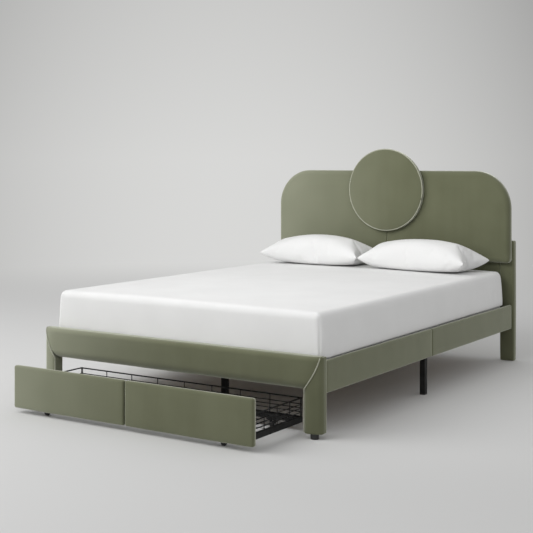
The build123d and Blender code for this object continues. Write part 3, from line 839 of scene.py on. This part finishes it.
def footboard():
    """The footboard's rolled rail and its two barrel-fronted posts, joined along mitres."""
    rail = "footboard_top_rail"
    low, high = corners_of(rail)
    post_low, post_high = corners_of("footboard_right_post")
    inner, outer = post_low[0], post_high[0]
    depth, rise = high[1] - low[1], high[2] - low[2]

    def mitre(z):
        """The mitre's distance from the bed's middle at a height."""
        share = unit((z - low[2]) / rise)
        return inner + (high[0] - inner) * (1 - (1 - share) ** mitre_bow)

    def post_top(x):
        """The mitre's height at a distance from the bed's middle."""
        share = unit((x - inner) / (high[0] - inner))
        return low[2] + rise * (1 - (1 - share) ** (1 / mitre_bow))

    def laid_back(x, y, z):
        """A point of a plain footboard, moved to its place on the rounded one."""
        share = unit((abs(x) - inner) / (outer - inner))
        back = post_fall * share**2 + end_inset(outer - abs(x), post_outer_round)
        drop = footboard_settle * unit((z - low[2] + settle_start) / rise)
        return (
            x * footboard_spread + footboard_aside,
            low[1] + back + (y - low[1]) * (1 - back / depth),
            z - drop,
        )

    rail_corners = (roll_radius, back_radius, back_radius, top_radius)
    outline = rounded_outline(low[1], high[1], low[2], high[2], rail_corners, rail_pitches[0])
    points, faces = lofted(
        outline,
        lambda y, z, x: laid_back(x, y, z),
        lambda y, z: mitre_gap - mitre(z),
        lambda y, z: mitre(z) - mitre_gap,
        mitre_round,
        rail_pitches[1],
        1,
    )
    faces = [face[::-1] for face in faces]
    piece = built("padded_" + rail, points, faces, "velvet", "bed", rail)

    post_corners = (post_inner_round, *(post_back_round,) * 3)
    outline = rounded_outline(
        inner, outer - mitre_gap, low[1], high[1], post_corners, post_pitches[0]
    )
    for side, node in ((-1, "footboard_left_post"), (1, "footboard_right_post")):
        points, faces = lofted(
            outline,
            lambda x, y, z, side=side: laid_back(side * x, y, z),
            lambda x, y: post_low[2],
            lambda x, y: post_top(x) - mitre_gap,
            mitre_round,
            post_pitches[1],
            5,
        )
        if side < 0:
            faces = [face[::-1] for face in faces]
        piece = built("padded_" + node, points, faces, "velvet", "bed", node)

        seam = [
            (top_radius * (1 - math.cos(a)), high[2] - top_radius * (1 - math.sin(a)))
            for a in map(math.radians, welt_turns)
        ]
        heights = np.linspace(high[2] - top_radius, low[2] + welt_corner, welt_steps[0])
        seam += [(0, z) for z in heights]
        path = [laid_back(side * mitre(z), low[1] + welt_proud + inset, z) for inset, z in seam]
        heights = np.linspace(low[2] - welt_corner, post_low[2] + welt_start, welt_steps[1])
        edge = side * (inner + edge_welt_radius)
        path += [laid_back(edge, low[1] + welt_lay, z) for z in heights]
        top = high[2] - footboard_settle - welt_stop
        heights = np.linspace(post_low[2] + welt_start, top, welt_steps[2])
        corner = side * (outer * footboard_spread - edge_welt_radius) + footboard_aside
        back = [(corner, high[1] - welt_lay, z) for z in heights]
        points, faces = joined([tube(path, edge_welt_radius), tube(back, edge_welt_radius)])
        name = node.replace("post", "welt")
        built(name, points, faces, "velvet", "bed", finish=welt_painted_highlight_finish)


def drawer_front(node, ends):
    """One padded panel of the drawer's front, with a welt round its back edge."""
    padded_board(node, "drawer", *drawer_padding, ends)
    low, high = corners_of(node)
    inset = edge_welt_radius
    outline = rounded_outline(
        low[0] + ends[0] + inset, high[0] + ends[1] - inset, low[2] + inset, high[2] - inset,
        (drawer_welt_corner,) * 4, drawer_welt_pitch,
    )
    path = [(x, high[1] - inset, z) for (x, z), _ in outline]
    points, faces = tube(path, edge_welt_radius, closed=True)
    built(node + "_welt", points, faces, "velvet", "drawer", finish=welt_painted_highlight_finish)


# Bedding

def drawn_in(points, low, high):
    """The mattress's plan, a little narrower towards the head."""
    share = (points[:, 1] - low[1]) / (high[1] - low[1])
    points[:, 0] = points[:, 0] * (mattress_draw - mattress_taper * share) + mattress_aside
    return points


def crowned(points, normals, half_width):
    """The mattress's top, a little higher along the middle."""
    across = np.clip(points[:, 0] / half_width, -1, 1)
    up = normals[:, 2]
    points[:, 2] += (up > upward) * up * mattress_crown * (1 - across**2)
    return points


def side_lift(points, normals, high):
    """How far the mattress's long sides stand out over the side rails."""
    z = points[:, 2]
    rise = np.clip((z - rail_level) / bulge_rise, 0, 1)
    start, length, power = bulge_ebb
    ebb = np.clip((high[2] - start - z) / length, 0, 1) ** power
    return side_bulge * normals[:, 0] ** 2 * rise**2 * (3 - 2 * rise) * ebb


def mattress():
    """The mattress under a fitted sheet that is pulled tight round its corners."""
    low, high = corners_of("mattress")
    core_low, core_high = low + sheet_gap, high - sheet_gap
    core_high[2] -= mattress_crown
    points, normals, faces = rounded_box(core_low, core_high, mattress_round, core_pitch)
    points = points + normals * side_lift(points, normals, core_high)[:, None]
    points = drawn_in(crowned(points, normals, core_high[0]), low, high)
    core = built(
        "mattress_core", points, faces, "white_cotton", "bed", "mattress", finish=ticking_finish
    )

    skirt = high.copy()
    skirt[2] -= mattress_crown
    points, normals, faces = rounded_box(low, skirt, mattress_round, sheet_pitch)
    keep = []
    for face in faces:
        middle = points[list(face)].mean(axis=0)
        inside = min(*(middle[:2] - low[:2]), *(high[:2] - middle[:2]))
        if middle[2] > low[2] + sole_tolerance or inside < sheet_tuck:
            keep.append(face)
    points = crowned(points, normals, high[0])
    lift = sheet_folds(points, normals, low, high) + side_lift(points, normals, high)
    points = drawn_in(points + normals * lift[:, None], low, high)
    used = sorted({i for face in keep for i in face})
    order = {old: new for new, old in enumerate(used)}
    faces = [tuple(order[i] for i in face) for face in keep]
    sheet = built("fitted_sheet", points[used], faces, "white_cotton", "bed")


def sheet_folds(points, normals, low, high):
    """Shallow pulls in the fitted sheet: pleats at the corners and a loose lower edge."""
    x, y, z = points.T
    near_x = np.minimum(x - low[0], high[0] - x)
    near_y = np.minimum(y - low[1], high[1] - y)
    side = 1 - normals[:, 2] ** 2
    down = np.clip((high[2] - z) / (high[2] - low[2]), 0, 1)
    long_side = np.abs(normals[:, 0]) > np.abs(normals[:, 1])
    along = np.where(long_side, near_y, near_x)
    pleats = np.exp(-along / pleat_reach) * np.sin(along * pleat_waves + pleat_lean * down) * down
    lengthwise = np.where(long_side, y, x)
    slack = ripple(np.stack([lengthwise, z * slack_stretch, 0 * z], axis=1), slack_scale, 4)
    drift = ripple(points, drift_scale, 12)
    crease = -corner_crease * np.exp(-(((near_x - near_y) / crease_width) ** 2))
    crease *= np.exp(-along / crease_reach)
    pulls = pleat_depth * pleats + slack_depth * slack * down + drift_depth * drift
    pulls += crease * np.clip(2 * down, 0, 1)
    return side * pulls + (1 - side) * top_drift_depth * drift


def inflated_pillow(seed):
    """Two flat sheets joined at their rim and blown up with cloth pressure."""
    across, along = case_cells
    wide, deep = case_size
    points, faces, index = [], [], {}

    def key(layer, i, j):
        """A grid point's key; the two sheets share the points of the rim."""
        rim = i in (0, across) or j in (0, along)
        return (0 if rim else layer, i, j)

    for layer in (1, -1):
        for i in range(across + 1):
            for j in range(along + 1):
                if key(layer, i, j) in index:
                    continue
                u, v = 2 * i / across - 1, 2 * j / along - 1
                x = wide / 2 * u * (1 - case_pull[0] * (1 - v * v))
                y = deep / 2 * v * (1 - case_pull[1] * (1 - u * u))
                z = case_lift * (1 - u * u) * (1 - v * v) * layer
                if key(layer, i, j)[0]:
                    spot = Vector((u * case_ripple_scale, v * case_ripple_scale, seed + layer))
                    z += case_ripple * noise.noise(spot)
                index[key(layer, i, j)] = len(points)
                points.append((x, y, z))
        for i in range(across):
            for j in range(along):
                ring = [(i, j), (i + 1, j), (i + 1, j + 1), (i, j + 1)]
                ring = [index[key(layer, a, b)] for a, b in ring]
                faces.append(tuple(ring if layer > 0 else ring[::-1]))
    case = meshed("pillow_start", points, faces)
    cloth = case.modifiers.new("cloth", "CLOTH")
    cloth.settings.effector_weights.gravity = 0
    for setting, value in case_cloth.items():
        setattr(cloth.settings, setting, value)
    for number in range(1, case_frames + 1):
        bpy.context.scene.frame_set(number)
    graph = bpy.context.evaluated_depsgraph_get()
    shaped = case.evaluated_get(graph).data
    result = np.array([tuple(v.co) for v in shaped.vertices])
    bpy.context.scene.frame_set(1)
    bpy.data.objects.remove(case)
    return result, faces


def pillow(node, turn, seed):
    """A pillow in its cotton case, settled on the mattress in its CAD node's place."""
    low, high = corners_of(node)
    shape, faces = inflated_pillow(seed)
    shape = shape - (shape.max(axis=0) + shape.min(axis=0)) / 2
    half = (shape.max(axis=0) - shape.min(axis=0)) / 2
    angle = math.radians(turn)
    size = np.array([pillow_width, pillow_depth]) / 2
    flat = shape[:, :2] / half[:2] * size
    thick = high[2] - low[2]
    seam = pillow_seam_share * thick
    raised = shape[:, 2] / half[2] * (1 - pillow_taper * (shape[:, 0] / half[0]) ** 2)
    above = np.clip(raised, 0, None) * (thick - seam)
    below = np.clip(-raised, 0, None)
    z = low[2] + seam + above - seam * np.tanh(sole_curve * below) / math.tanh(sole_curve)
    z = np.maximum(z, low[2] + sole_gap)
    x = flat[:, 0] * math.cos(angle) - flat[:, 1] * math.sin(angle) + (low[0] + high[0]) / 2
    y = flat[:, 0] * math.sin(angle) + flat[:, 1] * math.cos(angle) + (low[1] + high[1]) / 2
    points = np.stack([x, y, z], axis=1)
    piece = built("cased_" + node, points, faces, "white_cotton", "bed", node)
    smooth = piece.modifiers.new("soften", "SUBSURF")
    smooth.levels = smooth.render_levels = 1


# Basket

def wire_net(first, second, place, radius):
    """Two sets of straight wires that cross: place(a, b, layer) gives a point."""
    wires = []
    for a in first:
        wires.append(tube([place(a, second[0], 1), place(a, second[-1], 1)], radius))
    for b in second:
        wires.append(tube([place(first[0], b, -1), place(first[-1], b, -1)], radius))
    return wires


def basket_wall(node, axis, outward, bays):
    """A wall of the basket along an axis: crossed wires under the thick rim wire."""
    low, high = corners_of(node)
    outer = high[1 - axis] if outward > 0 else low[1 - axis]

    def place(along, height, depth):
        """A point at a place along the wall, at a height and at a depth from its outer side."""
        point = [0, 0, height]
        point[axis], point[1 - axis] = along, outer - outward * depth
        return point

    rim = high[2] - rim_radius
    seat = low[2] + wire_radius
    heights = [seat + (rim - seat) * share for share in wall_shares]
    places = evenly(low[axis] + wire_radius, high[axis] - wire_radius, bays)
    net = wire_net(
        places,
        heights[:-1],
        lambda a, b, layer: place(a, b, wire_radius + layer * wire_stack),
        wire_radius,
    )
    for a in places:
        ends = [place(a, heights[-2], wire_radius), place(a, rim, wire_radius)]
        net.append(tube(ends, wire_radius))
    ends = [place(low[axis], rim, rim_radius), place(high[axis], rim, rim_radius)]
    net.append(tube(ends, rim_radius, rim_sides))
    built(node + "_wires", *joined(net), "black_steel", "drawer", node)


def basket():
    """The drawer's welded wire basket."""
    low, high = corners_of("basket_floor")
    level = (low[2] + high[2]) / 2
    across = evenly(low[0] + wire_radius, high[0] - wire_radius, floor_bays)
    deep = evenly(low[1] + wire_radius, high[1] - wire_radius, floor_rows)
    net = wire_net(
        across,
        deep,
        lambda a, b, layer: (a, b, level + layer * wire_stack),
        floor_wire_radius,
    )
    built("basket_floor_wires", *joined(net), "black_steel", "drawer", "basket_floor")
    basket_wall("basket_left_wall", 1, -1, side_bays)
    basket_wall("basket_right_wall", 1, 1, side_bays)
    basket_wall("basket_rear_wall", 0, 1, rear_bays)


# Studio

def maths(tree, operation, first, second=None, clamp=False):
    """One math node; each input is a socket or a number."""
    node = tree.nodes.new("ShaderNodeMath")
    node.operation = operation
    node.use_clamp = clamp
    for socket, value in zip(node.inputs, (first, second)):
        if isinstance(value, (int, float)):
            socket.default_value = value
        elif value is not None:
            tree.links.new(value, socket)
    return node.outputs["Value"]


def held(tree, value, low, high):
    """A value held between two numbers."""
    return maths(tree, "MAXIMUM", maths(tree, "MINIMUM", value, high), low)


def dotted(tree, vector, direction):
    """How far a vector points in a fixed direction."""
    node = tree.nodes.new("ShaderNodeVectorMath")
    node.operation = "DOT_PRODUCT"
    tree.links.new(vector, node.inputs[0])
    node.inputs[1].default_value = direction
    return node.outputs["Value"]


def backdrop_light(tree, vector, rising=False):
    """The backdrop's brightness in a direction: a soft bow to both sides, darker upwards."""
    facing = dotted(tree, vector, (-math.sin(camera_yaw), math.cos(camera_yaw), 0))
    ahead = maths(tree, "MAXIMUM", facing, least_ahead)
    aside = dotted(tree, vector, (math.cos(camera_yaw), math.sin(camera_yaw), 0))
    across = maths(tree, "MULTIPLY", maths(tree, "DIVIDE", aside, ahead), backdrop_spread)
    across = held(tree, across, -backdrop_end, backdrop_end)
    square = maths(tree, "MULTIPLY", across, across)
    bend = maths(tree, "MULTIPLY", square, backdrop_bend)
    level = maths(tree, "ADD", maths(tree, "MULTIPLY", across, backdrop_slope), bend)
    behind = backdrop_bend * backdrop_end**2
    front = maths(tree, "SUBTRACT", facing, backdrop_side)
    front = maths(tree, "MULTIPLY", front, backdrop_turn, clamp=True)
    level = maths(tree, "MULTIPLY", maths(tree, "SUBTRACT", level, behind), front)
    level = maths(tree, "ADD", level, behind)
    down = horizon_share
    if rising:
        up = maths(tree, "DIVIDE", dotted(tree, vector, (0, 0, 1)), ahead)
        up = maths(tree, "MULTIPLY", up, -backdrop_rise)
        down = held(tree, maths(tree, "ADD", up, horizon_share), top_share, horizon_share)
    base = maths(tree, "ADD", maths(tree, "MULTIPLY", down, backdrop_drop), backdrop_level)
    return maths(tree, "ADD", base, level)


def studio_floor():
    """A pale floor that fades into the backdrop's grey far from the bed."""
    signs = ((-1, -1), (1, -1), (1, 1), (-1, 1))
    corners = [(floor_reach * sx, floor_reach * sy, 0) for sx, sy in signs]
    floor = meshed("studio_floor", corners, [(0, 1, 2, 3)])
    n = Nodes("studio_floor")
    n.shader.inputs["Roughness"].default_value = floor_roughness
    n.shader.inputs["Specular IOR Level"].default_value = floor_specular
    n.shader.inputs["Base Color"].default_value = (*floor_grey, 1)
    length = n.add("ShaderNodeVectorMath", operation="LENGTH")
    n.link(n.place, length.inputs[0])
    away = n.add("ShaderNodeVectorMath", operation="SUBTRACT")
    n.link(n.place, away.inputs[0])
    away.inputs[1].default_value = camera_place
    glow = n.add("ShaderNodeEmission")
    glow.inputs["Color"].default_value = (*backdrop_tint, 1)
    direction = n.add("ShaderNodeVectorMath", operation="NORMALIZE")
    n.link(away.outputs["Vector"], direction.inputs[0])
    n.link(backdrop_light(n.tree, direction.outputs["Vector"]), glow.inputs["Strength"])
    mix = n.add("ShaderNodeMixShader")
    n.link(n.eased(length.outputs["Value"], floor_fade), mix.inputs["Fac"])
    n.link(n.shader.outputs["BSDF"], mix.inputs[1])
    n.link(glow.outputs["Emission"], mix.inputs[2])
    n.link(mix.outputs["Shader"], n.tree.nodes["Material Output"].inputs["Surface"])
    floor.data.materials.append(n.material)


def studio_world(strength):
    """Even light all round, and the backdrop where the camera and reflections see it."""
    world = bpy.data.worlds.new("studio")
    world.use_nodes = True
    bpy.context.scene.world = world
    tree = world.node_tree
    nodes, links = tree.nodes, tree.links
    light = nodes["Background"]
    light.inputs["Color"].default_value = (1, 1, 1, 1)
    light.inputs["Strength"].default_value = strength
    backdrop = nodes.new("ShaderNodeBackground")
    backdrop.inputs["Color"].default_value = (*backdrop_tint, 1)
    direction = nodes.new("ShaderNodeTexCoord").outputs["Generated"]
    links.new(backdrop_light(tree, direction, rising=True), backdrop.inputs["Strength"])
    path = nodes.new("ShaderNodeLightPath")
    mix = nodes.new("ShaderNodeMixShader")
    seen = maths(tree, "MAXIMUM", path.outputs["Is Camera Ray"], path.outputs["Is Glossy Ray"])
    seen = maths(tree, "MAXIMUM", seen, path.outputs["Is Transmission Ray"])
    links.new(seen, mix.inputs["Fac"])
    links.new(light.outputs["Background"], mix.inputs[1])
    links.new(backdrop.outputs["Background"], mix.inputs[2])
    links.new(mix.outputs["Shader"], nodes["World Output"].inputs["Surface"])


def area_light(name, place, aim, size, power, spread):
    """A round lamp aimed at a point, with its beam's spread in degrees."""
    lamp = bpy.data.lights.new(name, "AREA")
    lamp.shape = "DISK"
    lamp.size = size
    lamp.energy = power
    lamp.spread = math.radians(spread)
    holder = placed(name, lamp)
    holder.location = place
    holder.rotation_euler = (Vector(aim) - Vector(place)).to_track_quat("-Z", "Y").to_euler()


def camera():
    """The level camera that takes the photo's view."""
    lens = bpy.data.cameras.new("camera")
    lens.lens = camera_lens
    lens.shift_y = camera_shift
    holder = placed("camera", lens)
    holder.location = camera_place
    holder.rotation_euler = (math.radians(90), 0, camera_yaw)
    bpy.context.scene.camera = holder


dress_cad_nodes()
headboard_half(-1)
headboard_half(1)
headboard_disc()
padded_board("headboard_left_leg", "bed", *leg_padding)
padded_board("headboard_right_leg", "bed", *leg_padding)
padded_board("headboard_lower_panel", "bed", *lower_panel_padding)
footboard()
for rail in ("left_rail_front", "left_rail_rear", "right_rail_front", "right_rail_rear"):
    padded_board(rail, "bed", *rail_padding)
drawer_front("drawer_left_front", left_drawer_ends)
drawer_front("drawer_right_front", right_drawer_ends)
mattress()
pillow("left_pillow", -2, 1)
pillow("right_pillow", -4, 5)
basket()
studio_floor()
studio_world(world_level)
area_light("key", *key_lamp)
area_light("head", *head_lamp)
camera()
bpy.context.scene.view_settings.view_transform = "Standard"
